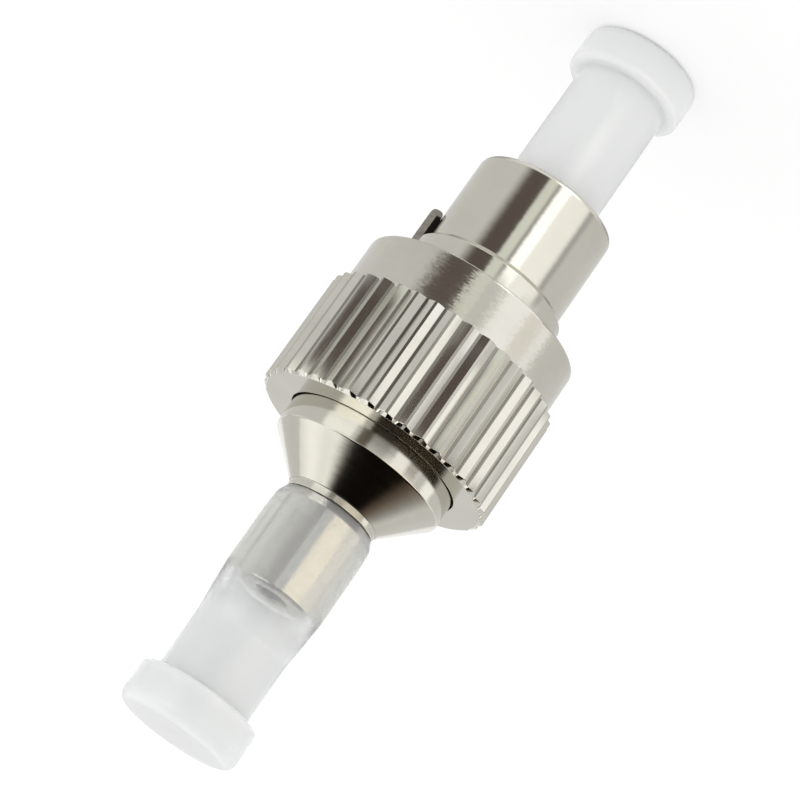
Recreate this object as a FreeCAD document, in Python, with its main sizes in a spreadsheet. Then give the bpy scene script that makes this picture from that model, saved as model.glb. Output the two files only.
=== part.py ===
import FreeCAD, Part
import Sketcher
import math
import os

# Fibre optic adapter: a plug with a knurled coupling nut at one end and a 1.25 mm ferrule
# socket at the other, each closed by a push-on dust cap. It stands on the flat head of the
# plug's cap: +Z runs up its axis to the socket, and the plug's key points along +X.

doc = FreeCAD.newDocument("fibre_optic_adapter")

# Driving dimensions, in millimetres unless the name says otherwise
SIZES = {
    # dust caps
    "cap_length": 10.05,
    "cap_wall": 0.68,
    "cap_head_length": 1.7,
    "cap_head_step": 0.55,
    "cap_head_bevel": 0.3,
    "cap_root_bevel": 0.1,
    "cap_floor": 2.2,
    "cap_show": 7.33,
    "cap_stretch_wall": 0.59,
    "cap_mouth_wall": 0.38,
    "cap_mouth_flare": 0.5,
    "cap_neck_length": 1.0,
    "cap_mouth_gap": 0.08,
    # plug barrel
    "barrel_wall": 0.75,
    "barrel_length": 4.01,
    "barrel_edge": 0.18,
    "web_depth": 4.27,
    "web_length": 0.8,
    "stop_length": 1.1,
    # key ring
    "ring_wall": 0.27,
    "ring_length": 1.56,
    "ring_edge": 0.22,
    "key_reach": 1.22,
    "key_rise": 0.22,
    "key_width": 2.0,
    "key_tip_round": 0.2,
    # coupling nut
    "nut_front_setback": 1.43,
    "nut_length": 6.9,
    "collar_length": 2.13,
    "collar_wall": 1.025,
    "collar_edge": 0.12,
    "knurl_step": 0.38,
    "knurl_depth": 0.225,
    "knurl_crest": 0.06,
    "knurl_count": 38,
    "knurl_rear_edge": 0.25,
    "thread_mouth": 0.35,
    "nut_rear_wall": 0.8,
    # retaining ring
    "clip_length": 0.5,
    "clip_depth": 0.9,
    "clip_gap_deg": 34,
    # rear body
    "rim_step": 0.6,
    "rim_length": 1.83,
    "rim_edge": 0.08,
    "cone_length": 1.6,
    "cone_step": 0.06,
    "land_step": 0.395,
    "land_length": 0.3,
    "tube_wall": 0.655,
    "tube_length": 3.9,
    "tube_edge": 0.08,
    "spigot_length": 1.4,
    "tail_room_length": 1.1,
    "lip_length": 0.5,
    "lip_funnel": 0.1,
    # ferrules, spring and sleeve
    "ferrule_dia": 2.5,
    "ferrule_length": 9.25,
    "ferrule_show": 0.58,
    "ferrule_tip_bevel": 0.55,
    "inner_ferrule_dia": 1.25,
    "inner_ferrule_length": 6.4,
    "inner_ferrule_bevel": 0.15,
    "flange_collar_length": 1.2,
    "flange_collar_step": 0.07,
    "flange_tail_wall": 0.3,
    "flange_tail_length": 3.7,
    "notch_width": 0.6,
    "notch_depth": 0.4,
    "notch_count": 4,
    "wire_dia": 0.4,
    "wire_sides": 6,
    "coil_turns": 3.5,
    "sleeve_wall": 0.18,
    "sleeve_length": 6.7,
    "sleeve_slit": 0.22,
    "fibre_dia": 0.125,
    # clearances: radial unless the name says otherwise
    "cap_fit": 0.02,
    "cap_gap": 0.3,
    "ring_fit": 0.01,
    "key_gap": 0.095,
    "nut_fit": 0.06,
    "clip_fit": 0.05,
    "clip_end_play": 0.03,
    "web_gap": 0.35,
    "flange_fit": 0.1,
    "coil_gap": 0.18,
    "tail_gap": 0.2,
    "sleeve_fit": 0.05,
    "sleeve_end_play": 0.55,
    "inner_ferrule_fit": 0.015,
    "lip_gap": 0.055,
}

sheet = doc.addObject("Spreadsheet::Sheet", "Sizes")
for row, (alias, size) in enumerate(SIZES.items(), start=1):
    sheet.set(f"A{row}", alias)
    sheet.set(f"B{row}", str(size))
    sheet.setAlias(f"B{row}", alias)
doc.recompute()


def add(*terms):
    """One expression that sums the named sizes, a leading minus taking one away."""
    signed = [f"- {size(term[1:])}" if term.startswith("-") else f"+ {size(term)}" for term in terms]
    return "(" + " ".join(signed).lstrip("+ ") + ")"


def size(term):
    """A size's name in expressions; a term that is one already stays as it is."""
    return f"Sizes.{term}" if term in SIZES else term


def half(*terms):
    """The radius of a diameter, or half of a sum of sizes."""
    return f"{add(*terms)} / 2"


# Heights above the base, each worked out from the one it is measured from
BARREL_FRONT = add("cap_show")
FERRULE_TIP = add(BARREL_FRONT, "-ferrule_show")
RING_FRONT = add(BARREL_FRONT, "barrel_length")
RING_REAR = add(RING_FRONT, "ring_length")
KEY_FRONT = add(RING_FRONT, "-key_reach")
STOP_REAR = add(RING_REAR, "stop_length")
WEB_FRONT = add(BARREL_FRONT, "web_depth")
WEB_REAR = add(WEB_FRONT, "web_length")
NUT_FRONT = add(RING_FRONT, "nut_front_setback")
NUT_REAR = add(NUT_FRONT, "nut_length")
KNURL_FRONT = add(NUT_FRONT, "collar_length")
GROOVE_REAR = add(NUT_REAR, "-nut_rear_wall")
CLIP_REAR = add(GROOVE_REAR, "-clip_end_play")
CLIP_FRONT = add(CLIP_REAR, "-clip_length")
GROOVE_FRONT = add(CLIP_FRONT, "-clip_end_play")
RIM_FRONT = add(CLIP_REAR, "clip_end_play")
RIM_REAR = add(RIM_FRONT, "rim_length")
CONE_REAR = add(RIM_REAR, "cone_length")
LAND_REAR = add(CONE_REAR, "land_length")
TUBE_END = add(LAND_REAR, "tube_length")
SPIGOT_FRONT = add(RIM_FRONT, "-spigot_length")
TAIL_ROOM_REAR = add(SPIGOT_FRONT, "tail_room_length")
LIP_FRONT = add(TUBE_END, "-lip_length")
SLEEVE_REAR = add(LIP_FRONT, "-sleeve_end_play")
SLEEVE_FRONT = add(SLEEVE_REAR, "-sleeve_length")
COLLAR_REAR = add(WEB_REAR, "flange_collar_length")
FERRULE_REAR = add(FERRULE_TIP, "ferrule_length")
TAIL_REAR = add(COLLAR_REAR, "flange_tail_length")
INNER_TIP = add(FERRULE_REAR, "inner_ferrule_length")
REAR_CAP_MOUTH = add(LAND_REAR, "cap_mouth_gap")
REAR_CAP_END = add(REAR_CAP_MOUTH, "cap_length")

# Radii, each worked out from the one inside it by a wall, a step or a clearance
FIBRE = half("fibre_dia")
FERRULE = half("ferrule_dia")
CAP_BORE = add(FERRULE, "cap_fit")
CAP_TUBE = add(CAP_BORE, "cap_wall")
CAP_HEAD = add(CAP_TUBE, "cap_head_step")
BARREL_BORE = add(CAP_TUBE, "cap_gap")
BARREL = add(BARREL_BORE, "barrel_wall")
RING_BORE = add(BARREL, "ring_fit")
RING = add(RING_BORE, "ring_wall")
KEY_OUTSIDE = add(RING, "key_rise")
THREAD = add(KEY_OUTSIDE, "key_gap")
COLLAR = add(THREAD, "collar_wall")
KNURL = add(COLLAR, "knurl_step")
RIM = add(BARREL, "rim_step")
NUT_REAR_HOLE = add(RIM, "nut_fit")
CLIP_INSIDE = add(BARREL, "clip_fit")
CLIP_OUTSIDE = add(CLIP_INSIDE, "clip_depth")
CLIP_GROOVE = add(CLIP_OUTSIDE, "clip_fit")
WEB_HOLE = add(FERRULE, "web_gap")
FLANGE_TAIL = add(FERRULE, "flange_tail_wall")
TAIL_ROOM = add(FLANGE_TAIL, "tail_gap")
COIL = add(FLANGE_TAIL, "coil_gap", half("wire_dia"))
FLANGE_COLLAR = add(COIL, half("wire_dia"), "flange_collar_step")
SPRING_ROOM = add(FLANGE_COLLAR, "flange_fit")
INNER_FERRULE = half("inner_ferrule_dia")
SLEEVE_INSIDE = add(INNER_FERRULE, "inner_ferrule_fit")
SLEEVE_OUTSIDE = add(SLEEVE_INSIDE, "sleeve_wall")
SLEEVE_SEAT = add(SLEEVE_OUTSIDE, "sleeve_fit")
LIP = add(INNER_FERRULE, "lip_gap")
TUBE = add(SLEEVE_SEAT, "tube_wall")
LAND = add(TUBE, "land_step")
CONE = add(LAND, "cone_step")
STRETCHED_BORE = add(TUBE, "cap_fit")
STRETCHED_OUTSIDE = add(STRETCHED_BORE, "cap_stretch_wall")
MOUTH_OUTSIDE = add(STRETCHED_BORE, "cap_mouth_wall")


def plane(body, role):
    """The body's own origin plane of that role."""
    return next(item for item in body.Origin.OriginFeatures if item.Role == role)


def value(expression):
    """The number that an expression gives with the sizes as they stand."""
    return float(sheet.evalExpression(expression))


def pin_point(sketch, line, end, across, up):
    """Ties one end of a sketch line to its two distances from the sketch's origin."""
    for kind, axis, distance in (("DistanceX", -2, across), ("DistanceY", -1, up)):
        if abs(value(distance)) < 1e-9:
            sketch.addConstraint(Sketcher.Constraint("PointOnObject", line, end, axis))
            continue
        tie = sketch.addConstraint(Sketcher.Constraint(kind, -1, 1, line, end, value(distance)))
        sketch.setExpression(f"Constraints[{tie}]", distance)


def outline(body, name, role, points):
    """A closed sketch through points, each given as two expressions."""
    sketch = body.newObject("Sketcher::SketchObject", name)
    sketch.AttachmentSupport = [(plane(body, role), "")]
    sketch.MapMode = "FlatFace"
    corners = [FreeCAD.Vector(value(across), value(up), 0) for across, up in points]
    count = len(corners)
    for index, corner in enumerate(corners):
        sketch.addGeometry(Part.LineSegment(corner, corners[(index + 1) % count]), False)
    for index in range(count):
        sketch.addConstraint(Sketcher.Constraint("Coincident", index, 2, (index + 1) % count, 1))
    for index, (across, up) in enumerate(points):
        pin_point(sketch, index, 1, across, up)
    return sketch


def turned(name, points, angle="360"):
    """A body turned about the Z axis from a profile of radii and heights."""
    body = doc.addObject("PartDesign::Body", name)
    body.Label = name
    profile = outline(body, f"{name}_profile", "XZ_Plane", points)
    turning = body.newObject("PartDesign::Revolution", f"{name}_turning")
    turning.Profile = profile
    turning.ReferenceAxis = (profile, ["V_Axis"])
    turning.Midplane = True
    turning.setExpression("Angle", angle)
    doc.recompute()
    return body


def rim_edges(feature, rims):
    """The names of a feature's circular edges at these radii and heights."""
    wanted = [(value(radius), value(height)) for radius, height in rims]
    names = []
    for index, edge in enumerate(feature.Shape.Edges, start=1):
        if not isinstance(edge.Curve, Part.Circle):
            continue
        here = (edge.Curve.Radius, edge.Curve.Center.z)
        if any(math.dist(here, there) < 1e-4 for there in wanted):
            names.append(f"Edge{index}")
    return names


def dress(body, kind, name, rims, amount):
    """Rounds or bevels the rims of a turned body."""
    base = body.Tip
    feature = body.newObject(f"PartDesign::{kind}", name)
    feature.Base = (base, rim_edges(base, rims))
    feature.setExpression("Radius" if kind == "Fillet" else "Size", amount)
    doc.recompute()


def cut_through(body, name, sketch, depth, reverse=False):
    """A pocket of a sketch, which has to take something away."""
    before = body.Shape.Volume
    pocket = body.newObject("PartDesign::Pocket", name)
    pocket.Profile = sketch
    pocket.setExpression("Length", depth)
    pocket.Reversed = reverse
    doc.recompute()
    if body.Shape.Volume > before - 1e-6:
        raise RuntimeError(f"{name} cuts nothing")
    return pocket


def repeat_round(body, name, feature, count):
    """Repeats a feature evenly about the Z axis."""
    pattern = body.newObject("PartDesign::PolarPattern", name)
    pattern.Originals = [feature]
    pattern.Axis = (feature.Profile[0], ["N_Axis"])
    pattern.Angle = 360
    pattern.setExpression("Occurrences", count)
    body.Tip = pattern
    doc.recompute()


# Front dust cap: a blind tube over the plug's ferrule, with a round head to pull it by
def make_front_dust_cap():
    head_rear = add("cap_head_length")
    mouth = add("cap_length")
    floor = add("cap_floor")
    body = turned("front_dust_cap", [
        ("0", "0"),
        (CAP_HEAD, "0"),
        (CAP_HEAD, head_rear),
        (CAP_TUBE, head_rear),
        (CAP_TUBE, mouth),
        (CAP_BORE, mouth),
        (CAP_BORE, floor),
        ("0", floor),
    ])
    dress(body, "Chamfer", "front_cap_head_bevel", [(CAP_HEAD, "0"), (CAP_HEAD, head_rear)],
          size("cap_head_bevel"))
    dress(body, "Chamfer", "front_cap_root_bevel", [(CAP_TUBE, head_rear), (CAP_TUBE, mouth)],
          size("cap_root_bevel"))
    return body


# Rear dust cap: the same cap, stretched where it is pushed over the wider socket tube
def make_rear_dust_cap():
    head_front = add(REAR_CAP_END, "-cap_head_length")
    neck_rear = add(TUBE_END, "cap_neck_length")
    floor = add(REAR_CAP_END, "-cap_floor")
    body = turned("rear_dust_cap", [
        (STRETCHED_BORE, REAR_CAP_MOUTH),
        (MOUTH_OUTSIDE, REAR_CAP_MOUTH),
        (STRETCHED_OUTSIDE, add(REAR_CAP_MOUTH, "cap_mouth_flare")),
        (STRETCHED_OUTSIDE, TUBE_END),
        (CAP_TUBE, neck_rear),
        (CAP_TUBE, head_front),
        (CAP_HEAD, head_front),
        (CAP_HEAD, REAR_CAP_END),
        ("0", REAR_CAP_END),
        ("0", floor),
        (CAP_BORE, floor),
        (CAP_BORE, neck_rear),
        (STRETCHED_BORE, add(TUBE_END, "cap_fit")),
    ])
    dress(body, "Chamfer", "rear_cap_head_bevel", [(CAP_HEAD, head_front), (CAP_HEAD, REAR_CAP_END)],
          size("cap_head_bevel"))
    dress(body, "Chamfer", "rear_cap_root_bevel", [(CAP_TUBE, head_front)], size("cap_root_bevel"))
    return body


# Plug barrel: a stepped tube with a web that the ferrule's flange is pressed against
def make_plug_barrel():
    body = turned("plug_barrel", [
        (BARREL_BORE, BARREL_FRONT),
        (BARREL, BARREL_FRONT),
        (BARREL, RING_REAR),
        (RING, RING_REAR),
        (RING, STOP_REAR),
        (BARREL, STOP_REAR),
        (BARREL, RIM_FRONT),
        (SPRING_ROOM, RIM_FRONT),
        (SPRING_ROOM, WEB_REAR),
        (WEB_HOLE, WEB_REAR),
        (WEB_HOLE, WEB_FRONT),
        (BARREL_BORE, WEB_FRONT),
    ])
    dress(body, "Chamfer", "barrel_front_bevel", [(BARREL, BARREL_FRONT), (BARREL_BORE, BARREL_FRONT)],
          size("barrel_edge"))
    return body


# Key ring: a bevelled ring on the barrel, with the flat-sided tab that finds the mating slot
def make_key_ring():
    body = turned("key_ring", [
        (RING_BORE, KEY_FRONT),
        (KEY_OUTSIDE, KEY_FRONT),
        (KEY_OUTSIDE, RING_REAR),
        (RING_BORE, RING_REAR),
    ], angle=f"4 * asin({half('key_width')} / {RING_BORE})")
    trim_inside = add(RING_BORE, "-key_width")
    trim_outside = add(KEY_OUTSIDE, "key_width")
    for side, sign in (("left", ""), ("right", "-")):
        trim = outline(body, f"key_{side}_profile", "XY_Plane", [
            (trim_inside, f"{sign}{half('key_width')}"),
            (trim_inside, f"{sign}2 * {size('key_width')}"),
            (trim_outside, f"{sign}2 * {size('key_width')}"),
            (trim_outside, f"{sign}{half('key_width')}"),
        ])
        trim.setExpression(".AttachmentOffset.Base.z", KEY_FRONT)
        doc.recompute()
        cut_through(body, f"key_{side}_side", trim, add(RING_REAR, "-" + KEY_FRONT), reverse=True)
    dress(body, "Fillet", "key_tip_round", [(KEY_OUTSIDE, KEY_FRONT), (RING_BORE, KEY_FRONT)],
          size("key_tip_round"))
    ring_profile = outline(body, "ring_profile", "XZ_Plane", [
        (RING_BORE, RING_FRONT),
        (add(RING, "-ring_edge"), RING_FRONT),
        (RING, add(RING_FRONT, "ring_edge")),
        (RING, RING_REAR),
        (RING_BORE, RING_REAR),
    ])
    ring = body.newObject("PartDesign::Revolution", "ring")
    ring.Profile = ring_profile
    ring.ReferenceAxis = (ring_profile, ["V_Axis"])
    doc.recompute()
    return body


# Coupling nut: a plain collar and a band of straight V ridges around an inside thread
def make_coupling_nut():
    body = turned("coupling_nut", [
        (add(THREAD, "thread_mouth"), NUT_FRONT),
        (COLLAR, NUT_FRONT),
        (COLLAR, KNURL_FRONT),
        (KNURL, KNURL_FRONT),
        (KNURL, NUT_REAR),
        (NUT_REAR_HOLE, NUT_REAR),
        (NUT_REAR_HOLE, GROOVE_REAR),
        (CLIP_GROOVE, GROOVE_REAR),
        (CLIP_GROOVE, GROOVE_FRONT),
        (THREAD, GROOVE_FRONT),
        (THREAD, add(NUT_FRONT, "thread_mouth")),
    ])
    dress(body, "Chamfer", "nut_front_bevel", [(COLLAR, NUT_FRONT)], size("collar_edge"))
    dress(body, "Chamfer", "nut_rear_bevel", [(KNURL, NUT_REAR)], size("knurl_rear_edge"))
    valley = add(KNURL, "-knurl_depth")
    beyond = add(KNURL, "knurl_depth")
    half_mouth = f"(2 * {KNURL} * sin(180 / Sizes.knurl_count) - Sizes.knurl_crest)"
    groove = outline(body, "knurl_groove_profile", "XY_Plane", [
        (valley, "0"),
        (beyond, half_mouth),
        (beyond, f"-{half_mouth}"),
    ])
    groove.setExpression(".AttachmentOffset.Base.z", KNURL_FRONT)
    doc.recompute()
    cut = cut_through(body, "knurl_groove", groove, size("nut_length"), reverse=True)
    repeat_round(body, "knurl_grooves", cut, size("knurl_count"))
    return body


# Retaining ring: an open spring ring that rides in the nut and slides along the barrel
def make_retaining_ring():
    return turned("retaining_ring", [
        (CLIP_INSIDE, CLIP_FRONT),
        (CLIP_OUTSIDE, CLIP_FRONT),
        (CLIP_OUTSIDE, CLIP_REAR),
        (CLIP_INSIDE, CLIP_REAR),
    ], angle="360 - Sizes.clip_gap_deg")


# Rear body: spigot, rim, cone and the socket tube with its inturned lip, turned in one piece
def make_rear_body():
    body = turned("rear_body", [
        (TAIL_ROOM, SPIGOT_FRONT),
        (SPRING_ROOM, SPIGOT_FRONT),
        (SPRING_ROOM, RIM_FRONT),
        (RIM, RIM_FRONT),
        (RIM, RIM_REAR),
        (CONE, CONE_REAR),
        (LAND, CONE_REAR),
        (LAND, LAND_REAR),
        (TUBE, LAND_REAR),
        (TUBE, TUBE_END),
        (LIP, TUBE_END),
        (LIP, LIP_FRONT),
        (SLEEVE_SEAT, LIP_FRONT),
        (SLEEVE_SEAT, TAIL_ROOM_REAR),
        (TAIL_ROOM, TAIL_ROOM_REAR),
    ])
    dress(body, "Chamfer", "rim_bevel", [(RIM, RIM_REAR)], size("rim_edge"))
    dress(body, "Chamfer", "tube_bevel", [(TUBE, TUBE_END)], size("tube_edge"))
    dress(body, "Chamfer", "lip_funnel_bevel", [(LIP, TUBE_END)], size("lip_funnel"))
    return body


# Plug ferrule: a ceramic rod with a bevelled tip and a bore for the fibre
def make_ferrule():
    body = turned("ferrule", [
        (FIBRE, FERRULE_TIP),
        (FERRULE, FERRULE_TIP),
        (FERRULE, FERRULE_REAR),
        (FIBRE, FERRULE_REAR),
    ])
    dress(body, "Chamfer", "ferrule_tip_bevel", [(FERRULE, FERRULE_TIP)], size("ferrule_tip_bevel"))
    return body


# Inner ferrule: the thin ceramic rod that meets a plug's ferrule inside the split sleeve
def make_inner_ferrule():
    body = turned("inner_ferrule", [
        (FIBRE, FERRULE_REAR),
        (INNER_FERRULE, FERRULE_REAR),
        (INNER_FERRULE, INNER_TIP),
        (FIBRE, INNER_TIP),
    ])
    dress(body, "Chamfer", "inner_tip_bevel", [(INNER_FERRULE, INNER_TIP)], size("inner_ferrule_bevel"))
    return body


# Ferrule flange: holds both ferrules; its notched collar is pushed against the barrel's web
def make_ferrule_flange():
    body = turned("ferrule_flange", [
        (FERRULE, WEB_REAR),
        (FLANGE_COLLAR, WEB_REAR),
        (FLANGE_COLLAR, COLLAR_REAR),
        (FLANGE_TAIL, COLLAR_REAR),
        (FLANGE_TAIL, TAIL_REAR),
        (INNER_FERRULE, TAIL_REAR),
        (INNER_FERRULE, FERRULE_REAR),
        (FERRULE, FERRULE_REAR),
    ])
    half_width = half("notch_width")
    floor = add(FLANGE_COLLAR, "-notch_depth")
    beyond = add(FLANGE_COLLAR, "notch_depth")
    notch = outline(body, "flange_notch_profile", "XY_Plane", [
        (floor, half_width),
        (floor, f"-{half_width}"),
        (beyond, f"-{half_width}"),
        (beyond, half_width),
    ])
    notch.setExpression(".AttachmentOffset.Base.z", WEB_REAR)
    doc.recompute()
    cut = cut_through(body, "flange_notch", notch, size("flange_collar_length"), reverse=True)
    repeat_round(body, "flange_notches", cut, size("notch_count"))
    return body


# Ferrule spring: a coil between the flange's collar and the rear body's spigot
def make_ferrule_spring():
    first = add(COLLAR_REAR, half("wire_dia"))
    rise = add(SPIGOT_FRONT, "-" + COLLAR_REAR, "-wire_dia")
    path = doc.addObject("Part::Helix", "spring_path")
    path.setExpression("Radius", COIL)
    path.setExpression("Height", rise)
    path.setExpression("Pitch", f"{rise} / Sizes.coil_turns")
    path.setExpression(".Placement.Base.z", first)
    wire = doc.addObject("Part::RegularPolygon", "spring_wire")
    wire.setExpression("Polygon", size("wire_sides"))
    wire.setExpression("Circumradius", half("wire_dia"))
    wire.Placement.Rotation = FreeCAD.Rotation(FreeCAD.Vector(1, 0, 0), 90)
    wire.setExpression(".Placement.Base.x", COIL)
    wire.setExpression(".Placement.Base.z", first)
    spring = doc.addObject("Part::Sweep", "ferrule_spring")
    spring.Label = "ferrule_spring"
    spring.Sections = [wire]
    spring.Spine = (path, ["Edge1"])
    spring.Solid = True
    spring.Frenet = True
    doc.recompute()
    return spring


# Split sleeve: a slit ceramic tube that lines up the two thin ferrules
def make_split_sleeve():
    body = turned("split_sleeve", [
        (SLEEVE_INSIDE, SLEEVE_FRONT),
        (SLEEVE_OUTSIDE, SLEEVE_FRONT),
        (SLEEVE_OUTSIDE, SLEEVE_REAR),
        (SLEEVE_INSIDE, SLEEVE_REAR),
    ])
    half_width = half("sleeve_slit")
    beyond = add(SLEEVE_OUTSIDE, "sleeve_wall")
    slit = outline(body, "sleeve_slit_profile", "XY_Plane", [
        ("0", half_width),
        ("0", f"-{half_width}"),
        (beyond, f"-{half_width}"),
        (beyond, half_width),
    ])
    slit.setExpression(".AttachmentOffset.Base.z", SLEEVE_FRONT)
    doc.recompute()
    cut_through(body, "sleeve_slit", slit, size("sleeve_length"), reverse=True)
    return body


# Fibre stub: the bare glass fibre through both ferrules
def make_fibre_stub():
    fibre = doc.addObject("Part::Cylinder", "fibre_stub")
    fibre.Label = "fibre_stub"
    fibre.setExpression("Radius", FIBRE)
    fibre.setExpression("Height", add(INNER_TIP, "-" + FERRULE_TIP))
    fibre.setExpression(".Placement.Base.z", FERRULE_TIP)
    doc.recompute()
    return fibre


def check(pieces):
    """Stops the build where an object failed or a piece has no sound solid."""
    doc.recompute()
    for item in doc.Objects:
        if "Invalid" in item.State or "Error" in item.State:
            raise RuntimeError(f"{item.Name} failed: {item.State}")
    for piece in pieces:
        shape = piece.Shape
        if shape.isNull() or not shape.isValid() or len(shape.Solids) != 1:
            raise RuntimeError(f"{piece.Label} has no sound solid")


def main():
    pieces = [
        make_front_dust_cap(),
        make_rear_dust_cap(),
        make_plug_barrel(),
        make_key_ring(),
        make_coupling_nut(),
        make_retaining_ring(),
        make_rear_body(),
        make_ferrule(),
        make_inner_ferrule(),
        make_ferrule_flange(),
        make_ferrule_spring(),
        make_split_sleeve(),
        make_fibre_stub(),
    ]
    check(pieces)
    os.makedirs("parts", exist_ok=True)
    for piece in pieces:
        piece.Shape.exportStep(f"parts/{piece.Label}.step")
        box = piece.Shape.BoundBox
        print(f"{piece.Label}: z {box.ZMin:.3f} to {box.ZMax:.3f}, {piece.Shape.Volume:.3f} mm3")


main()
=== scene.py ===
import math

import bpy
from mathutils import Matrix, Vector

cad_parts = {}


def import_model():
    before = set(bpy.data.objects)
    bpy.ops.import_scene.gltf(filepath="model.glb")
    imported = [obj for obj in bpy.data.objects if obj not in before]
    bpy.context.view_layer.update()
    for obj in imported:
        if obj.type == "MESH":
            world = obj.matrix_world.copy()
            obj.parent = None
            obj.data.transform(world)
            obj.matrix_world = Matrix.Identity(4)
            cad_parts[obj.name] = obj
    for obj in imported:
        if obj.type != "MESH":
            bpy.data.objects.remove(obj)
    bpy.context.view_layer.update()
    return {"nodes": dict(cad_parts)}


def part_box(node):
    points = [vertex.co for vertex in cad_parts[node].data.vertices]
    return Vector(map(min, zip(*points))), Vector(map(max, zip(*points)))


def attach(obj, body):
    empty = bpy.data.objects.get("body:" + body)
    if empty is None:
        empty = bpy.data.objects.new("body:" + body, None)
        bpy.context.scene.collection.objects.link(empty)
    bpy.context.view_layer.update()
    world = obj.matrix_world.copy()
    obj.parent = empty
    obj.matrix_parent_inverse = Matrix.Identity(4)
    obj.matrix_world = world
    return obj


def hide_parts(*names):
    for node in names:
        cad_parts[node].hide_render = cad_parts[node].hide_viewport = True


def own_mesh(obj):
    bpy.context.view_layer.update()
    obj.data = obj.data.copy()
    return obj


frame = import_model()

# Lengths are in millimetres: radii about the adapter's axis, and heights along it from the plug's cap
MM = 0.001
TURN = 2 * math.pi
SEGMENTS = 192

# Dust caps
CAP_HEAD, CAP_TUBE, CAP_BORE = 2.5, 1.95, 1.27
HEAD_HEIGHT, HEAD_FLOOR = 1.7, 2.2
FRONT_MOUTH = 10.05
REAR_MOUTH, REAR_TOP = 22.62, 32.73
STRETCHED_TUBE, STRETCHED_BORE = 2.135, 1.52

# Plug barrel
BARREL_RADIUS, BARREL_BORE, BARREL_FRONT = 3.0, 2.25, 7.33
WEB_BORE, WEB_FRONT, WEB_BACK = 1.6, 11.6, 12.4
STOP_RADIUS, STOP_FRONT, STOP_BACK = 3.28, 12.9, 14.0
CHAMBER = 2.3

# Rear body
RIM_RADIUS, RIM_FRONT, RIM_BACK = 3.6, 18.87, 20.70
CONE_END, LAND_RADIUS, LAND_FRONT, LAND_BACK = 1.98, 1.92, 22.30, 22.60
TUBE_RADIUS, TUBE_END = 1.525, 26.50
LIP_HOLE, LIP_FRONT = 0.68, 26.0
SLEEVE_BORE, SLEEVE_FLOOR = 0.87, 18.57
SPRING_BORE, SPRING_SEAT = 1.75, 17.47

# Key ring
RING_BORE, RING_FRONT, RING_BEVEL = 3.01, 11.34, 0.22
KEY_HALF_WIDTH, KEY_OUTSIDE, KEY_TIP, KEY_TIP_ROUND = 1.0, 3.5, 10.12, 0.24

# Coupling nut
NUT_FRONT, KNURL_FRONT, NUT_BACK = 12.77, 14.90, 19.67
COLLAR, CREST, VALLEY = 4.62, 5.0, 4.824
BACK_BEVEL, BACK_FACE, BACK_HOLE = 0.14, 4.80, 3.66
GROOVE_RADIUS, GROOVE_FRONT = 4.0, 18.31
MINOR, THREAD_DEPTH, PITCH = 3.595, 0.40, 0.75
LEAD_IN, LEAD_IN_END = 3.945, 13.12


# Meshes

def mesh_object(name, points, faces):
    mesh = bpy.data.meshes.new(name)
    mesh.from_pydata([(x * MM, y * MM, z * MM) for x, y, z in points], [], faces)
    mesh.polygons.foreach_set("use_smooth", [True] * len(mesh.polygons))
    mesh.update()
    made = bpy.data.objects.new(name, mesh)
    bpy.context.scene.collection.objects.link(made)
    return made


# The most of a straight run that an arc takes, and how far beside the arc the run's own point lies
ARC_SHARE = 0.48
HOLD, HOLD_SHARE = 0.02, 0.015


# A closed outline of (radius, height, corner radius): every corner is an arc, with a point beside it
# that keeps the straight runs flat
def rounded(corners, steps):
    outline = []
    count = len(corners)
    for i, (r, z, corner) in enumerate(corners):
        here = Vector((r, z))
        before = Vector(corners[i - 1][:2]) - here
        after = Vector(corners[(i + 1) % count][:2]) - here
        if corner <= 0 or before.length == 0 or after.length == 0:
            outline.append((r, z))
            continue
        half_angle = before.angle(after) / 2
        reach = min(corner / math.tan(half_angle), ARC_SHARE * before.length, ARC_SHARE * after.length)
        hold = min(HOLD, HOLD_SHARE * before.length, HOLD_SHARE * after.length)
        first = here + before.normalized() * reach
        last = here + after.normalized() * reach
        outline.append(tuple(first + before.normalized() * hold))
        for k in range(steps + 1):
            t = k / steps
            point = first * (1 - t) ** 2 + here * 2 * t * (1 - t) + last * t ** 2
            outline.append((point.x, point.y))
        outline.append(tuple(last + after.normalized() * hold))
    return outline


# A solid of revolution about the adapter's axis
def lathe(name, corners, steps=4):
    points = []
    rings = []
    for r, z in rounded(corners, steps):
        if r == 0:
            rings.append([len(points)])
            points.append((0, 0, z))
            continue
        rings.append(list(range(len(points), len(points) + SEGMENTS)))
        for s in range(SEGMENTS):
            angle = TURN * s / SEGMENTS
            points.append((r * math.cos(angle), r * math.sin(angle), z))
    faces = []
    for i, ring in enumerate(rings):
        above = rings[(i + 1) % len(rings)]
        if len(ring) == 1 and len(above) == 1:
            continue
        for s in range(SEGMENTS):
            n = (s + 1) % SEGMENTS
            if len(ring) == 1:
                faces.append((ring[0], above[n], above[s]))
            elif len(above) == 1:
                faces.append((ring[s], ring[n], above[0]))
            else:
                faces.append((ring[s], ring[n], above[n], above[s]))
    return mesh_object(name, points, faces)


# Faces between rings of as many points each, with the last ring joined to the first where it is closed
def ring_faces(rings, count, closed=False):
    faces = []
    for k in range(rings if closed else rings - 1):
        low = k * count
        high = (k + 1) % rings * count
        for s in range(count):
            n = (s + 1) % count
            faces.append((low + s, low + n, high + n, high + s))
    return faces


# Faces of a bar: sections of as many points each along it, with both ends shut
def bar_faces(sections, count):
    last = (sections - 1) * count
    faces = [tuple(range(count)), tuple(reversed(range(last, last + count)))]
    for k in range(sections - 1):
        low = k * count
        high = low + count
        for s in range(count):
            n = (s + 1) % count
            faces.append((low + s, high + s, high + n, low + n))
    return faces


# Shaders

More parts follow.
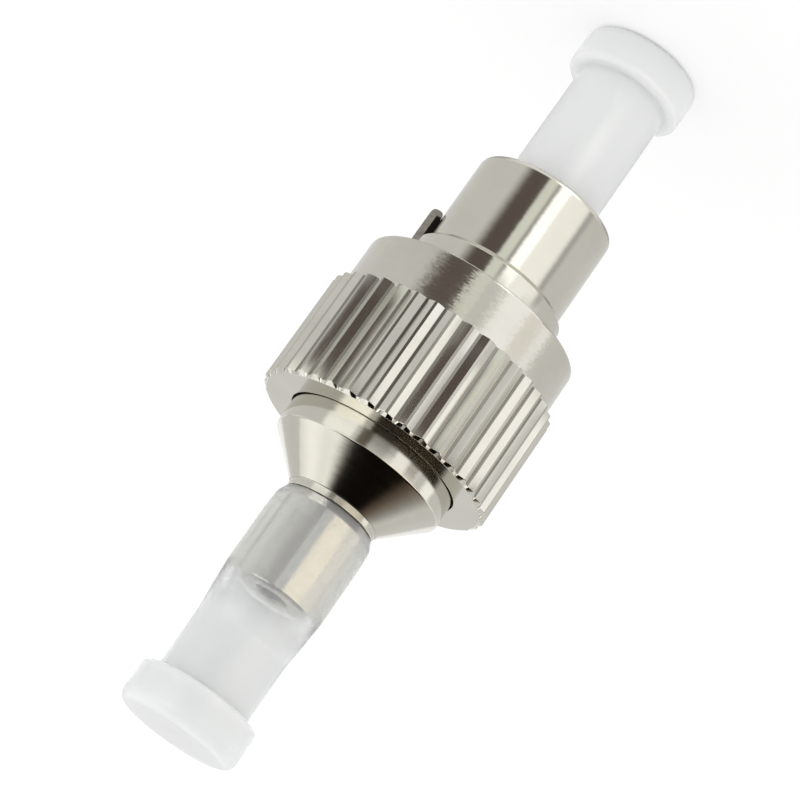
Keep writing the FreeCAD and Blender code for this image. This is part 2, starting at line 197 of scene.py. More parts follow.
class Sock:
    def __init__(self, graph, socket):
        self.graph = graph
        self.socket = socket

    def math(self, operation, *others):
        sockets = {0: self, **dict(enumerate(others, 1))}
        return self.graph.node("ShaderNodeMath", {"operation": operation}, sockets)

    def __add__(self, other):
        return self.math("ADD", other)

    def __sub__(self, other):
        return self.math("SUBTRACT", other)

    def __mul__(self, other):
        return self.math("MULTIPLY", other)

    def __rsub__(self, other):
        return (self * -1.0) + other

    def __pow__(self, other):
        return self.math("POWER", other)

    __radd__ = __add__
    __rmul__ = __mul__


class Graph:
    def __init__(self, name):
        self.material = bpy.data.materials.new(name)
        self.material.use_nodes = True
        self.tree = self.material.node_tree
        self.tree.nodes.clear()

    def node(self, kind, settings=None, sockets=None, output=0):
        made = self.tree.nodes.new(kind)
        for key, value in (settings or {}).items():
            setattr(made, key, value)
        for key, value in (sockets or {}).items():
            if isinstance(value, Sock):
                self.tree.links.new(value.socket, made.inputs[key])
            else:
                made.inputs[key].default_value = value
        return Sock(self, made.outputs[output])

    def place(self):
        return self.node("ShaderNodeTexCoord", output="Object")

    def parts(self, vector):
        split = self.node("ShaderNodeSeparateXYZ", sockets={0: vector})
        owner = split.socket.node
        return [Sock(self, owner.outputs[i]) for i in range(3)]

    def join(self, x, y, z):
        return self.node("ShaderNodeCombineXYZ", sockets={0: x, 1: y, 2: z})

    def noise(self, vector, scale, detail, rough):
        return self.node("ShaderNodeTexNoise", {"noise_dimensions": "3D"},
                         {"Vector": vector, "Scale": scale, "Detail": detail, "Roughness": rough})

    def mix(self, factor, first, second):
        return self.node("ShaderNodeMix", {"data_type": "RGBA"}, {0: factor, 6: first, 7: second}, output=2)

    # A smooth rise from 0 to 1 between two values
    def ramp(self, value, low, high):
        return self.node("ShaderNodeMapRange", {"interpolation_type": "SMOOTHSTEP"},
                         {0: value, 1: low, 2: high, 3: 0.0, 4: 1.0})

    # The same along a length, between two values in millimetres
    def step(self, length, low, high):
        return self.ramp(length, low * MM, high * MM)

    def bump(self, height, strength, distance, **normal):
        return self.node("ShaderNodeBump", {}, {
            "Strength": strength, "Distance": distance, "Height": height, **normal})

    # The surface's normal, swung round the axis by the given slope
    def swung_normal(self, slope):
        normal = self.node("ShaderNodeNewGeometry", output="Normal")
        around = self.node("ShaderNodeTangent", {"direction_type": "RADIAL", "axis": "Z"})
        swing = self.node("ShaderNodeVectorMath", {"operation": "SCALE"}, {0: around, 3: slope})
        total = self.node("ShaderNodeVectorMath", {"operation": "ADD"}, {0: normal, 1: swing})
        return self.node("ShaderNodeVectorMath", {"operation": "NORMALIZE"}, {0: total})

    def finish(self, shader):
        output = self.tree.nodes.new("ShaderNodeOutputMaterial")
        self.tree.links.new(shader.socket, output.inputs["Surface"])
        return self.material


# Turned metal: faint lines round the axis, each leaning its own way, small tarnish and polish changes
def turned_metal(name, color, dull, roughness, spread, line_depth,
                 lean=0.0, streak=0.05, streak_scale=26000.0):
    g = Graph(name)
    place = g.place()
    x, y, z = g.parts(place)
    radius = (x * x + y * y) ** 0.5
    lines = g.noise(g.join(radius, 0.0, z), scale=9000.0, detail=4.0, rough=0.7)
    cloud = g.noise(place, scale=260.0, detail=4.0, rough=0.6)
    specks = g.noise(place, scale=5200.0, detail=2.0, rough=0.5)
    shade = g.ramp(cloud, 0.35, 0.75)
    base = g.mix(shade * 0.6 + lines * 0.25, color, dull)
    patches = (cloud - 0.5) * (spread * 0.8)
    grit = (specks - 0.5) * (spread * 0.3)
    rough = roughness + (lines - 0.5) * spread + patches + grit
    streaks = g.noise(g.join(x * streak, y * streak, z), scale=streak_scale, detail=3.0, rough=0.7)
    leaning = g.swung_normal((streaks - 0.5) * lean)
    normal = g.bump(lines, strength=line_depth, distance=2e-6, Normal=leaning)
    return g.finish(g.node("ShaderNodeBsdfPrincipled", {}, {
        "Base Color": base, "Metallic": 1.0, "Roughness": rough, "Normal": normal}))


# Knurled metal: as turned, with painted shade along the roots of the ridges and a painted dark reflection on
# their tips
def knurled_metal(name, color, dull):
    g = Graph(name)
    place = g.place()
    x, y, z = g.parts(place)
    radius = (x * x + y * y) ** 0.5
    cloud = g.noise(place, scale=700.0, detail=4.0, rough=0.6)
    scuffs = g.noise(g.join(x, y, z * 0.15), scale=9000.0, detail=3.0, rough=0.6)
    # Painted shade in the roots and a painted dark reflection on the tips, mixed toward near black
    root_shade = 1.0 - g.step(radius, VALLEY, VALLEY + 0.02)
    tip_dark_reflection = g.step(radius, CREST - 0.01, CREST)
    lines = root_shade + tip_dark_reflection * 0.5
    plain = g.mix(g.ramp(cloud, 0.35, 0.75) * 0.6 + scuffs * 0.2, color, dull)
    base = g.mix(lines * 0.7, plain, (0.10, 0.09, 0.08, 1))
    rough = 0.13 + (scuffs - 0.5) * 0.1 + (cloud - 0.5) * 0.06 + lines * 0.2
    normal = g.bump(scuffs, strength=0.08, distance=2e-6)
    return g.finish(g.node("ShaderNodeBsdfPrincipled", {}, {
        "Base Color": base, "Metallic": 1.0, "Roughness": rough, "Normal": normal}))


# Stamped metal: a mottled, torn face without turning lines; past the key's tip and below the given radius it
# is painted near black, a painted shade for the shadowed gap beside the barrel
def stamped_metal(name, color, dull, roughness, gap_shade_radius=0.0):
    g = Graph(name)
    place = g.place()
    blots = g.noise(place, scale=4200.0, detail=4.0, rough=0.6)
    pits = g.noise(place, scale=15000.0, detail=3.0, rough=0.6)
    x, y, z = g.parts(place)
    radius = (x * x + y * y) ** 0.5
    # Painted shade: near black below the given radius past the key's tip, for the shadowed gap between the
    # key and the barrel
    painted_gap_shade = (1.0 - g.step(radius, gap_shade_radius - 0.02, gap_shade_radius + 0.02)) * g.step(z, KEY_TIP + 0.18, KEY_TIP + 0.30)
    base = g.mix(painted_gap_shade * 0.97, g.mix(g.ramp(blots, 0.38, 0.66), color, dull), (0.006, 0.005, 0.004, 1))
    return g.finish(g.node("ShaderNodeBsdfPrincipled", {}, {
        "Base Color": base, "Metallic": 1.0, "Roughness": roughness + (blots - 0.5) * 0.2,
        "Normal": g.bump(blots * 0.6 + pits * 0.4, strength=0.35, distance=1.2e-5)}))


# Milky polyethylene: a white body with painted shade on the rear cap, and clearer where it is stretched thin
# over the metal tube
def milky_plastic(name):
    g = Graph(name)
    place = g.place()
    x, y, z = g.parts(place)
    radius = (x * x + y * y) ** 0.5
    cloud = g.noise(place, scale=320.0, detail=3.0, rough=0.5)
    grain = g.noise(place, scale=9000.0, detail=3.0, rough=0.6)
    drag = g.noise(g.join(x * 3.0, y * 3.0, z * 0.35), scale=700.0, detail=3.0, rough=0.5)
    # Painted shade: the rear cap's white is darker than the front cap's, fully along its tube and half as
    # much on its head
    rear_cap_shade = g.step(z, 20.0, 21.0) * (1.0 - g.step(z, 30.0, 31.2) * 0.5)
    plain = g.mix(g.ramp(cloud, 0.3, 0.75), (0.82, 0.83, 0.825, 1), (0.79, 0.80, 0.797, 1))
    white = g.mix(rear_cap_shade, plain, (0.745, 0.758, 0.755, 1))
    thin = g.mix(g.ramp(cloud, 0.3, 0.75), (0.965, 0.972, 0.972, 1), (0.945, 0.955, 0.957, 1))
    normal = g.bump(drag, strength=0.10, distance=6e-6)
    body = g.node("ShaderNodeBsdfPrincipled", {}, {
        "Base Color": white, "Roughness": 0.20 + (cloud - 0.5) * 0.12 + (grain - 0.5) * 0.06, "IOR": 1.5,
        "Specular IOR Level": 0.5, "Normal": normal,
        "Subsurface Weight": 1.0, "Subsurface Radius": (1.0, 1.0, 1.0), "Subsurface Scale": 0.001})
    clear = g.node("ShaderNodeBsdfPrincipled", {}, {
        "Base Color": thin, "Roughness": 0.09 + (cloud - 0.5) * 0.06 + (grain - 0.5) * 0.04, "IOR": 1.5,
        "Transmission Weight": 1.0, "Normal": normal})
    stretched = g.step(z, 15.0, 16.0) * (1.0 - g.step(z, 26.6, 28.4))
    between_heads = g.step(z, 1.0, 1.5) * (1.0 - g.step(z, 31.2, 31.7))
    bore = (1.0 - g.step(radius, 1.56, 1.75)) * between_heads
    share = (0.88 - stretched * 0.55 + (cloud - 0.5) * 0.06) * (1.0 - bore * 0.85)
    return g.finish(g.node("ShaderNodeMixShader", {}, {0: share, 1: clear, 2: body}))


def ceramic(name):
    g = Graph(name)
    place = g.place()
    cloud = g.noise(place, scale=900.0, detail=3.0, rough=0.5)
    grain = g.noise(place, scale=14000.0, detail=2.0, rough=0.5)
    base = g.mix(cloud, (0.93, 0.92, 0.89, 1), (0.89, 0.88, 0.84, 1))
    rough = 0.16 + (grain - 0.5) * 0.1
    normal = g.bump(grain, strength=0.05, distance=2e-6)
    return g.finish(g.node("ShaderNodeBsdfPrincipled", {}, {
        "Base Color": base, "Roughness": rough, "IOR": 2.1, "Normal": normal}))


def glass(name):
    g = Graph(name)
    place = g.place()
    streak = g.noise(place, scale=6000.0, detail=2.0, rough=0.5)
    base = g.mix(streak, (0.9, 0.94, 0.95, 1), (0.84, 0.9, 0.92, 1))
    return g.finish(g.node("ShaderNodeBsdfPrincipled", {}, {
        "Base Color": base, "Roughness": 0.05 + streak * 0.06, "IOR": 1.46, "Transmission Weight": 0.6}))


nickel = turned_metal("nickel_turned", (0.64, 0.625, 0.555, 1), (0.57, 0.55, 0.485, 1),
                      roughness=0.12, spread=0.08, line_depth=0.08, lean=0.06)
brushed = turned_metal("nickel_brushed", (0.64, 0.62, 0.555, 1), (0.55, 0.53, 0.47, 1),
                       roughness=0.17, spread=0.10, line_depth=0.15,
                       lean=0.22, streak=0.30, streak_scale=15000.0)
bright = turned_metal("nickel_bright", (0.66, 0.645, 0.58, 1), (0.59, 0.57, 0.51, 1),
                      roughness=0.11, spread=0.08, line_depth=0.06, lean=0.04)
knurled = knurled_metal("nickel_knurled", (0.66, 0.645, 0.58, 1), (0.58, 0.56, 0.50, 1))
# The key's metal, with painted shade in its gap beside the barrel
stamped = stamped_metal("nickel_stamped", (0.58, 0.56, 0.50, 1), (0.42, 0.40, 0.355, 1),
                        roughness=0.34, gap_shade_radius=3.22)
# Painted shade: a near-black copy of the stamped metal for the inside of the sleeve bore, where little light
# gets in
painted_bore_shade = stamped_metal("bore_painted_shade", (0.10, 0.085, 0.07, 1), (0.05, 0.045, 0.04, 1), roughness=0.45)
spring_steel = turned_metal("spring_steel", (0.64, 0.64, 0.64, 1), (0.55, 0.55, 0.56, 1),
                            roughness=0.24, spread=0.12, line_depth=0.1)
milky = milky_plastic("milky_polyethylene")
zirconia = ceramic("zirconia")
silica = glass("silica")


# Pieces

def dress(made, material):
    made.data.materials.clear()
    made.data.materials.append(material)


def piece(made, body, slot, material, *nodes):
    dress(made, material)
    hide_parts(*nodes)
    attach(made, body)
    return made


# A second material on the faces whose radius and height lie within the limits
def line_faces(made, material, inner, outer, low, high):
    made.data.materials.append(material)
    index = len(made.data.materials) - 1
    for polygon in made.data.polygons:
        centre = polygon.center / MM
        if inner < math.hypot(centre.x, centre.y) < outer and low < centre.z < high:
            polygon.material_index = index


# Dust caps: the rear one lies tight on the metal tube and narrows to its own width past the tube's end
FRONT_CAP = [
    (0, 0, 0), (CAP_HEAD, 0, 0.45), (CAP_HEAD, HEAD_HEIGHT, 0.42), (CAP_TUBE, HEAD_HEIGHT, 0.12),
    (CAP_TUBE, FRONT_MOUTH, 0.1), (CAP_BORE, FRONT_MOUTH, 0.05),
    (CAP_BORE, HEAD_FLOOR, 0.25), (0, HEAD_FLOOR, 0),
]
REAR_CAP = [
    (STRETCHED_BORE, REAR_MOUTH, 0.05), (LAND_RADIUS, REAR_MOUTH, 0.12), (2.08, 22.95, 0.5),
    (STRETCHED_TUBE, 23.6, 0.8), (STRETCHED_TUBE, 26.2, 1.6), (CAP_TUBE, 28.4, 1.6),
    (CAP_TUBE, REAR_TOP - HEAD_HEIGHT, 0.12), (CAP_HEAD, REAR_TOP - HEAD_HEIGHT, 0.42),
    (CAP_HEAD, REAR_TOP, 0.45), (0, REAR_TOP, 0),
    (0, REAR_TOP - HEAD_FLOOR, 0), (CAP_BORE, REAR_TOP - HEAD_FLOOR, 0.25),
    (CAP_BORE, 28.6, 0.6), (STRETCHED_BORE, 26.6, 0.05),
]
piece(lathe("front_cap_milky", FRONT_CAP, steps=6), "front_cap", "cap_plastic", milky, "front_dust_cap")
piece(lathe("rear_cap_milky", REAR_CAP, steps=6), "rear_cap", "cap_plastic", milky, "rear_dust_cap")

# Plug barrel and rear body
BARREL_OUTLINE = [
    (BARREL_BORE, BARREL_FRONT, 0.15), (BARREL_RADIUS, BARREL_FRONT, 0.2), (BARREL_RADIUS, STOP_FRONT, 0.02),
    (STOP_RADIUS, STOP_FRONT, 0.03), (STOP_RADIUS, STOP_BACK, 0.06), (BARREL_RADIUS, STOP_BACK, 0.04),
    (BARREL_RADIUS, RIM_FRONT, 0.02), (CHAMBER, RIM_FRONT, 0.02), (CHAMBER, WEB_BACK, 0.05),
    (WEB_BORE, WEB_BACK, 0.05), (WEB_BORE, WEB_FRONT, 0.05), (BARREL_BORE, WEB_FRONT, 0.05),
]
REAR_OUTLINE = [
    (SPRING_BORE, SPRING_SEAT, 0.02), (CHAMBER, SPRING_SEAT, 0.02), (CHAMBER, RIM_FRONT, 0.02),
    (RIM_RADIUS, RIM_FRONT, 0.03), (RIM_RADIUS, RIM_BACK, 0.1), (CONE_END, LAND_FRONT, 0.04),
    (LAND_RADIUS, LAND_FRONT, 0.02), (LAND_RADIUS, LAND_BACK, 0.04), (TUBE_RADIUS, LAND_BACK, 0.06),
    (TUBE_RADIUS, TUBE_END, 0.1), (LIP_HOLE, TUBE_END, 0.1), (LIP_HOLE, LIP_FRONT, 0.02),
    (SLEEVE_BORE, LIP_FRONT, 0.02), (SLEEVE_BORE, SLEEVE_FLOOR, 0.02), (SPRING_BORE, SLEEVE_FLOOR, 0.02),
]
piece(lathe("barrel_turned", BARREL_OUTLINE), "housing", "nickel_plate", nickel, "plug_barrel")
rear = piece(lathe("rear_body_turned", REAR_OUTLINE), "housing", "nickel_plate", nickel, "rear_body")
# Painted shade on the faces inside the sleeve bore
line_faces(rear, painted_bore_shade, 0, SLEEVE_BORE + 0.03, SLEEVE_FLOOR + 0.03, TUBE_END - 0.08)


# The key: a flat-sided block that follows the ring's round, with a rounded tip
def key_tab():
    section = rounded([
        (RING_BORE, KEY_TIP, KEY_TIP_ROUND), (KEY_OUTSIDE, KEY_TIP, KEY_TIP_ROUND),
        (KEY_OUTSIDE, STOP_FRONT, 0.03), (RING_BORE, STOP_FRONT, 0.02)], 8)
    steps = 20
    points = []
    for k in range(steps + 1):
        y = KEY_HALF_WIDTH * (2 * k / steps - 1)
        points += [(math.sqrt(r * r - y * y), y, z) for r, z in section]
    made = mesh_object("key_tab", points, bar_faces(steps + 1, len(section)))
    edge = made.modifiers.new("edge", "BEVEL")
    edge.width = 0.04 * MM
    edge.segments = 3
    edge.limit_method = "ANGLE"
    edge.harden_normals = True
    dress(made, stamped)
    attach(made, "housing")


# Key ring: the bevelled ring and its stamped key
KEY_RING_OUTLINE = [
    (RING_BORE, RING_FRONT, 0.02), (STOP_RADIUS - RING_BEVEL, RING_FRONT, 0.02),
    (STOP_RADIUS, RING_FRONT + RING_BEVEL, 0.05), (STOP_RADIUS, STOP_FRONT, 0.02),
    (RING_BORE, STOP_FRONT, 0.02),
]
piece(lathe("key_ring_turned", KEY_RING_OUTLINE), "housing", "nickel_plate", nickel, "key_ring")
key_tab()

# Coupling nut: a band of ridges with flat roots and crests outside, a helical thread inside
RIDGES = 38
RIDGE_STEPS = [0, 0.05, 0.065, 0.08, 0.25, 0.42, 0.435, 0.45, 0.5, 0.55, 0.565, 0.58, 0.75, 0.92, 0.935, 0.95]
FLAT_SHARE = 0.13
KNURL_TURN = math.radians(0.69)
THREAD_ROWS = 64
RUNOUT_GAP, RUNOUT = 0.2, 0.5
SHARP_EDGE = math.radians(24)
NUT_OUTLINE = [
    (COLLAR, NUT_FRONT, 0.12), (COLLAR, KNURL_FRONT, 0.03), (CREST, KNURL_FRONT, 0.03),
    (CREST, NUT_BACK - BACK_BEVEL, 0.04), (BACK_FACE, NUT_BACK, 0.03), (BACK_HOLE, NUT_BACK, 0.05),
    (BACK_HOLE, RIM_FRONT, 0.02), (GROOVE_RADIUS, RIM_FRONT, 0.02), (GROOVE_RADIUS, GROOVE_FRONT, 0.02),
    (MINOR, GROOVE_FRONT, 0), (MINOR, LEAD_IN_END, 0), (LEAD_IN, NUT_FRONT, 0.04),
]


def clamp(t):
    return min(1.0, max(0.0, t))


def ridge_radius(angle):
    wave = abs((angle * RIDGES / TURN + 0.5) % 1.0 - 0.5) * 2
    return VALLEY + (CREST - VALLEY) * clamp((wave - FLAT_SHARE) / (1 - 2 * FLAT_SHARE))


def thread_radius(angle, z):
    turn = (z / PITCH - angle / TURN) % 1.0
    flank = clamp(abs(turn - 0.5) * 2.6 - 0.15)
    return MINOR + THREAD_DEPTH * flank * clamp((GROOVE_FRONT - RUNOUT_GAP - z) / RUNOUT)


def nut_radius(r, z, angle):
    if r > COLLAR + 0.02:
        return min(r, ridge_radius(angle))
    if r < MINOR + THREAD_DEPTH and z < GROOVE_FRONT - 0.01:
        return max(r, thread_radius(angle, z))
    return r


def coupling_nut():
    angles = [TURN * (ridge + step) / RIDGES for ridge in range(RIDGES) for step in RIDGE_STEPS]
    outline = rounded(NUT_OUTLINE, 3)
    rows = []
    for (r, z), (r2, z2) in zip(outline, outline[1:] + outline[:1]):
        steps = THREAD_ROWS if r == r2 == MINOR else 1
        rows += [(r + (r2 - r) * k / steps, z + (z2 - z) * k / steps) for k in range(steps)]
    points = []
    for r, z in rows:
        for angle in angles:
            here = nut_radius(r, z, angle)
            turned = angle - KNURL_TURN
            points.append((here * math.cos(turned), here * math.sin(turned), z))
    made = mesh_object("coupling_nut_knurled", points, ring_faces(len(rows), len(angles), closed=True))
    made.data.set_sharp_from_angle(angle=SHARP_EDGE)
    return made


nut = piece(coupling_nut(), "nut", "nickel_plate", bright, "coupling_nut")
line_faces(nut, brushed, COLLAR - 0.42, COLLAR + 0.08, NUT_FRONT - 0.07, KNURL_FRONT - 0.01)
line_faces(nut, knurled, COLLAR + 0.08, CREST + 0.1, KNURL_FRONT + 0.01, NUT_BACK - 0.07)

# Ferrule spring: a round wire coil
WIRE, COIL_INSET = 0.172, 0.2
COIL_TURNS, COIL_STEPS, WIRE_SIDES = 3.5, 48, 12


def ferrule_spring():
    low, high = (Vector(corner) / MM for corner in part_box("ferrule_spring"))
    coil = high.x - COIL_INSET
    count = int(COIL_TURNS * COIL_STEPS)
    points = []
    for k in range(count + 1):
        angle = TURN * COIL_TURNS * k / count
        centre = low.z + WIRE + (high.z - low.z - 2 * WIRE) * k / count
        for s in range(WIRE_SIDES):
            side = TURN * s / WIRE_SIDES
            r = coil + WIRE * math.cos(side)
            points.append((r * math.cos(angle), r * math.sin(angle), centre + WIRE * math.sin(side)))
    wire = mesh_object("ferrule_spring_wire", points, bar_faces(count + 1, WIRE_SIDES))
    made = piece(wire, "housing", "spring_steel", spring_steel, "ferrule_spring")
    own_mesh(made)


ferrule_spring()

# Inner pieces keep their solids
for node, material in {
    "ferrule": zirconia,
    "inner_ferrule": zirconia,
    "split_sleeve": zirconia,
    "ferrule_flange": nickel,
    "retaining_ring": spring_steel,
    "fibre_stub": silica,
}.items():
    dress(frame["nodes"][node], material)


# Floor and light tent
CAMERA_AZIMUTH, CAMERA_TILT = math.radians(-105), math.radians(17.39)
CAMERA_DISTANCE, CAMERA_LENS, CAMERA_SENSOR = 110.5, 130.6, 36
AIM_HEIGHT, AIM_ASIDE = 17.3, -0.27
PLUG_SHARE, ASIDE_SHARE = 0.575, 0.818
FLOOR_REACH = 900
WORLD_STRENGTH = 1.12


# White floor: its shadow is kept at half depth, and plastic that is looked through shows it nearly plain
def floor():
    signs = [(-1, -1), (1, -1), (1, 1), (-1, 1)]
    made = mesh_object("floor", [(FLOOR_REACH * x, FLOOR_REACH * y, 0) for x, y in signs], [(0, 1, 2, 3)])
    g = Graph("floor_white")
    cloud = g.noise(g.place(), scale=3.0, detail=2.0, rough=0.5)
    base = g.mix(cloud, (0.94, 0.94, 0.94, 1), (0.95, 0.95, 0.95, 1))
    lit = g.node("ShaderNodeBsdfDiffuse", {}, {"Color": base})
    plain = g.node("ShaderNodeEmission", {}, {"Color": (1, 1, 1, 1), "Strength": 1.0})
    seen = g.node("ShaderNodeLightPath", output="Is Camera Ray")
    through = g.node("ShaderNodeLightPath", output="Is Transmission Ray")
    share = seen * 0.5 + through * 0.85
    dress(made, g.finish(g.node("ShaderNodeMixShader", {}, {0: share, 1: lit, 2: plain})))
    return made


# Heights on the tent's wall where what one piece mirrors gives way to what the next one does
FOOT, BARREL_TOP, COLLAR_TOP, KNURL_TOP, RIM_TOP = -9, 7, 11, 15.7, 18.5
TUBE_FOOT, TUBE_TOP, TENT_TOP = 18.8, 22.3, 60

# Cards on the wall, each laid over those before it: angles of both ends from the camera's side, softness
# of each end, lower and upper edge, colour
FILL = (0.79, 0.79, 0.785)
CARDS = [
    (-57, -13, 20, 4, FOOT, COLLAR_TOP, (0.13, 0.105, 0.095)),
    (-49, -7, 4, 4, COLLAR_TOP, KNURL_TOP, (0.12, 0.095, 0.085)),
    (-70, -26, 8, 5, KNURL_TOP, RIM_TOP, (1.35, 1.35, 1.30)),
    (-25, -6, 5, 5, KNURL_TOP, RIM_TOP, (0.18, 0.15, 0.12)),
    (-16, 0, 3, 3, FOOT, COLLAR_TOP, (0.94, 0.97, 0.90)),
    (-9, 2, 3, 3, COLLAR_TOP, KNURL_TOP, (0.94, 0.97, 0.90)),
    (-3, 6, 4, 4, FOOT, BARREL_TOP, (0.42, 0.41, 0.40)),
    (10, 62, 9, 11, FOOT, RIM_TOP, (1.33, 1.31, 1.31)),
    (2, 22, 5, 4, FOOT, BARREL_TOP, (1.80, 1.82, 1.82)),
    (18, 42, 5, 6, BARREL_TOP, COLLAR_TOP, (1.30, 1.31, 1.36)),
    (39, 58, 5, 5, BARREL_TOP, COLLAR_TOP, (1.02, 1.00, 0.96)),
    (56, 70, 5, 6, FOOT, BARREL_TOP, (0.55, 0.55, 0.56)),
    (56, 73, 5, 5, BARREL_TOP, COLLAR_TOP, (1.26, 1.25, 1.28)),
    (68, 92, 6, 6, COLLAR_TOP, RIM_TOP, (1.35, 1.34, 1.34)),
    (-20, 25, 6, 5, 15.75, 16.42, (0.07, 0.06, 0.05)),
    (38, 58, 5, 5, 15.8, 16.6, (0.26, 0.22, 0.20)),
    (-10, 75, 8, 10, 18.0, TUBE_FOOT, (0.52, 0.47, 0.39)),
    (-180, -72, 1, 30, TUBE_FOOT, TUBE_TOP, (1.15, 1.15, 1.14)),
    (-128, -114, 4, 4, 19.4, TUBE_TOP, (0.50, 0.50, 0.52)),
    (-66, -8, 42, 6, TUBE_FOOT, TUBE_TOP, (0.36, 0.34, 0.32)),
    (8, 78, 14, 16, TUBE_FOOT, TUBE_TOP, (1.92, 1.74, 1.42)),
    (66, 120, 14, 20, TUBE_FOOT, TUBE_TOP, (1.45, 1.36, 1.24)),
    (106, 180, 16, 1, TUBE_FOOT, TUBE_TOP, (1.08, 1.08, 1.08)),
    (-20, 100, 6, 14, TUBE_TOP, TENT_TOP, (0.03, 0.02, 0.012)),
    (-72, -24, 10, 5, TUBE_TOP, TENT_TOP, (1.9, 1.9, 1.85)),
]
EDGE_SOFTNESS = 0.5
WALL_RADIUS, WALL_TOP, WALL_ROWS = 17.0, 22.0, 88
BACK_RADIUS, BACK_TOP, BACK_ROWS = 40.0, 45.0, 90
BACK_DROP, BACK_LOWEST = 3, 19
SILL_START, SILL_STEP, SILL_ROWS, SILL_HEIGHT = 6.0, 0.5, 20, 0.04
DOME_RADIUS, DOME_CENTRE, DOME_STEP, DOME_ROWS = 400.0, 21.5, 2.0, 46
SHELL_SEGMENTS = 360


def ease(t):
    t = clamp(t)
    return t * t * (3 - 2 * t)


# Rises from 0 to 1 past the low end and falls to 0 again at the high one, each over its own softness
def span(value, low, high, soft_low, soft_high):
    return ease((value - low) / soft_low) * ease((high - value) / soft_high)


def blend(first, second, share):
    return tuple(a + (b - a) * share for a, b in zip(first, second))


# How far an angle lies to the sides and behind, where the caps' outlines mirror the tent
def behind(theta):
    return ease((abs(theta) - 76) / 34)


def wall_light(theta, z):
    colour = FILL
    for left, right, soft_left, soft_right, low, high, card in CARDS:
        across = span(theta, left, right, soft_left, soft_right)
        along = ease((z - low) / EDGE_SOFTNESS + 0.5) * ease((high - z) / EDGE_SOFTNESS + 0.5)
        colour = blend(colour, card, across * along)
    return colour


# The far wall, seen over the near one: dimmer behind, for the outline of the rear cap's neck
def back_light(theta, z):
    dim = behind(theta) * span(z, 17.5, 22.5, 1.5, 3)
    return blend(wall_light(theta, max(z - BACK_DROP, BACK_LOWEST)), (0.5, 0.5, 0.5), dim)


# The card on the floor: a soft streak along the front cap, and dimmer behind
def sill_light(theta, r):
    streak = span(theta, -12, 46, 24, 26) * ease((r - SILL_START) / 8)
    level = 1.02 - 0.46 * behind(theta)
    return blend((level, level, level), (3.4, 3.4, 3.2), streak)


# The far dome: brighter on the left, with one dark wedge above the camera
def dome_light(theta, elevation):
    level = 0.98 - 0.33 * math.sin(math.radians(theta)) + 0.12 * math.sin(math.radians(theta * 9))
    colour = (level, level, level * 0.99)
    brown = span(theta, -84, 128, 46, 34)
    black = span(theta, -82, 100, 48, 22)
    height = ease((elevation - 5) / 10)
    colour = blend(colour, (0.16, 0.115, 0.085), brown * height)
    return blend(colour, (0.004, 0.003, 0.002), black * height)


# One shell of the tent, from rows of (radius, height): it glows by the rule given and shows only in
# reflections and through the clear plastic
def shell(name, rows, light):
    points = []
    shades = []
    for r, z in rows:
        for s in range(SHELL_SEGMENTS):
            theta = -180 + 360 * s / SHELL_SEGMENTS
            azimuth = CAMERA_AZIMUTH - math.radians(theta)
            points.append((r * math.cos(azimuth), r * math.sin(azimuth), z))
            shades.append(light(theta, r, z))
    made = mesh_object(name, points, ring_faces(len(rows), SHELL_SEGMENTS))
    layer = made.data.color_attributes.new("shade", "FLOAT_COLOR", "POINT")
    for i, colour in enumerate(shades):
        layer.data[i].color = (*colour, 1)
    g = Graph(name + "_glow")
    shade = g.node("ShaderNodeAttribute", {"attribute_name": "shade"}, output="Color")
    dress(made, g.finish(g.node("ShaderNodeEmission", {}, {"Color": shade, "Strength": 1.0})))
    made.visible_camera = False
    made.visible_diffuse = False
    made.visible_volume_scatter = False
    made.visible_shadow = False
    return made


def tent_wall():
    rows = [(WALL_RADIUS, WALL_TOP * k / WALL_ROWS) for k in range(WALL_ROWS + 1)]
    return shell("tent_wall", rows, lambda theta, r, z: wall_light(theta, z))


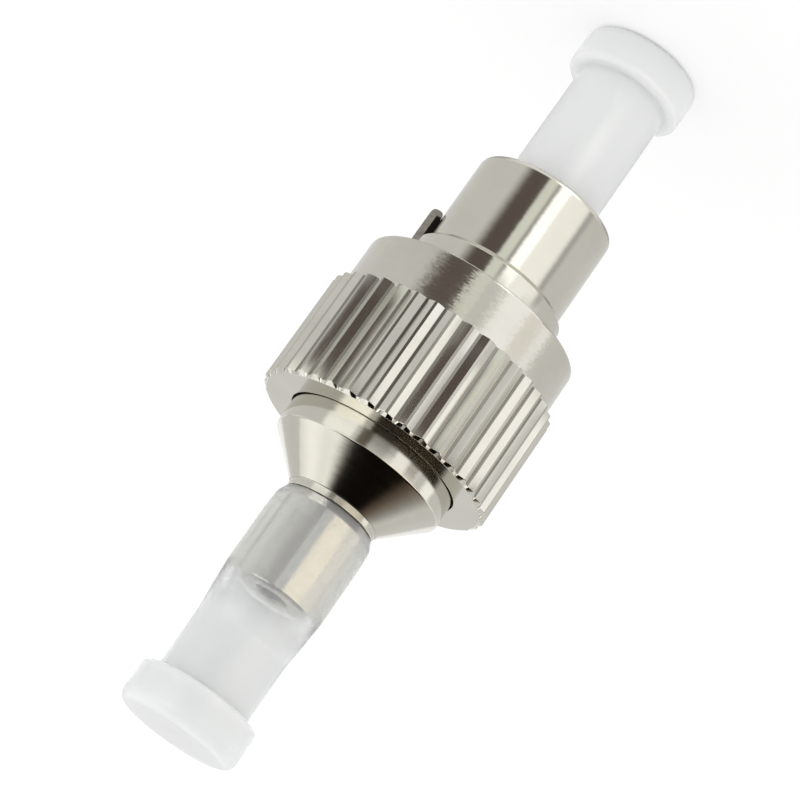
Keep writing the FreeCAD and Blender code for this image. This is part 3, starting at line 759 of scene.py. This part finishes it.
def tent_back():
    rows = [(BACK_RADIUS, BACK_TOP * k / BACK_ROWS) for k in range(BACK_ROWS + 1)]
    return shell("tent_back", rows, lambda theta, r, z: back_light(theta, z))


def tent_sill():
    rows = [(SILL_START + SILL_STEP * k, SILL_HEIGHT) for k in range(SILL_ROWS + 1)]
    made = shell("tent_sill", rows, lambda theta, r, z: sill_light(theta, r))
    made.visible_transmission = False
    return made


def tent_dome():
    angles = [math.radians(min(89.9, DOME_STEP * k)) for k in range(DOME_ROWS)]
    rows = [(DOME_RADIUS * math.cos(a), DOME_CENTRE + DOME_RADIUS * math.sin(a)) for a in angles]

    def light(theta, r, z):
        return dome_light(theta, math.degrees(math.atan2(z - DOME_CENTRE, r)))

    return shell("tent_dome", rows, light)


def world():
    made = bpy.data.worlds.new("studio")
    made.use_nodes = True
    background = made.node_tree.nodes["Background"]
    background.inputs["Color"].default_value = (1, 1, 1, 1)
    background.inputs["Strength"].default_value = WORLD_STRENGTH
    bpy.context.scene.world = made


# The camera stands to the side and a little above, rolled so that the plug points up and to the right
def camera():
    side = Vector((math.cos(CAMERA_AZIMUTH), math.sin(CAMERA_AZIMUTH), 0))
    up = Vector((0, 0, 1))
    toward = math.cos(CAMERA_TILT) * side + math.sin(CAMERA_TILT) * up
    plug_way = -math.cos(CAMERA_TILT) * up + math.sin(CAMERA_TILT) * side
    across = side.cross(up)
    right = PLUG_SHARE * plug_way + ASIDE_SHARE * across
    right.normalize()
    top = toward.cross(right)
    stand = AIM_HEIGHT * up + AIM_ASIDE * across + CAMERA_DISTANCE * toward
    data = bpy.data.cameras.new("camera")
    data.sensor_width = CAMERA_SENSOR
    data.lens = CAMERA_LENS
    data.clip_start = 0.001
    data.clip_end = 10
    made = bpy.data.objects.new("camera", data)
    turn = Matrix((right, top, toward)).transposed().to_4x4()
    made.matrix_world = Matrix.Translation(stand * MM) @ turn
    bpy.context.scene.collection.objects.link(made)
    bpy.context.scene.camera = made


floor()
tent_sill()
tent_wall()
tent_back()
tent_dome()
world()
camera()
bpy.context.scene.view_settings.view_transform = "Standard"
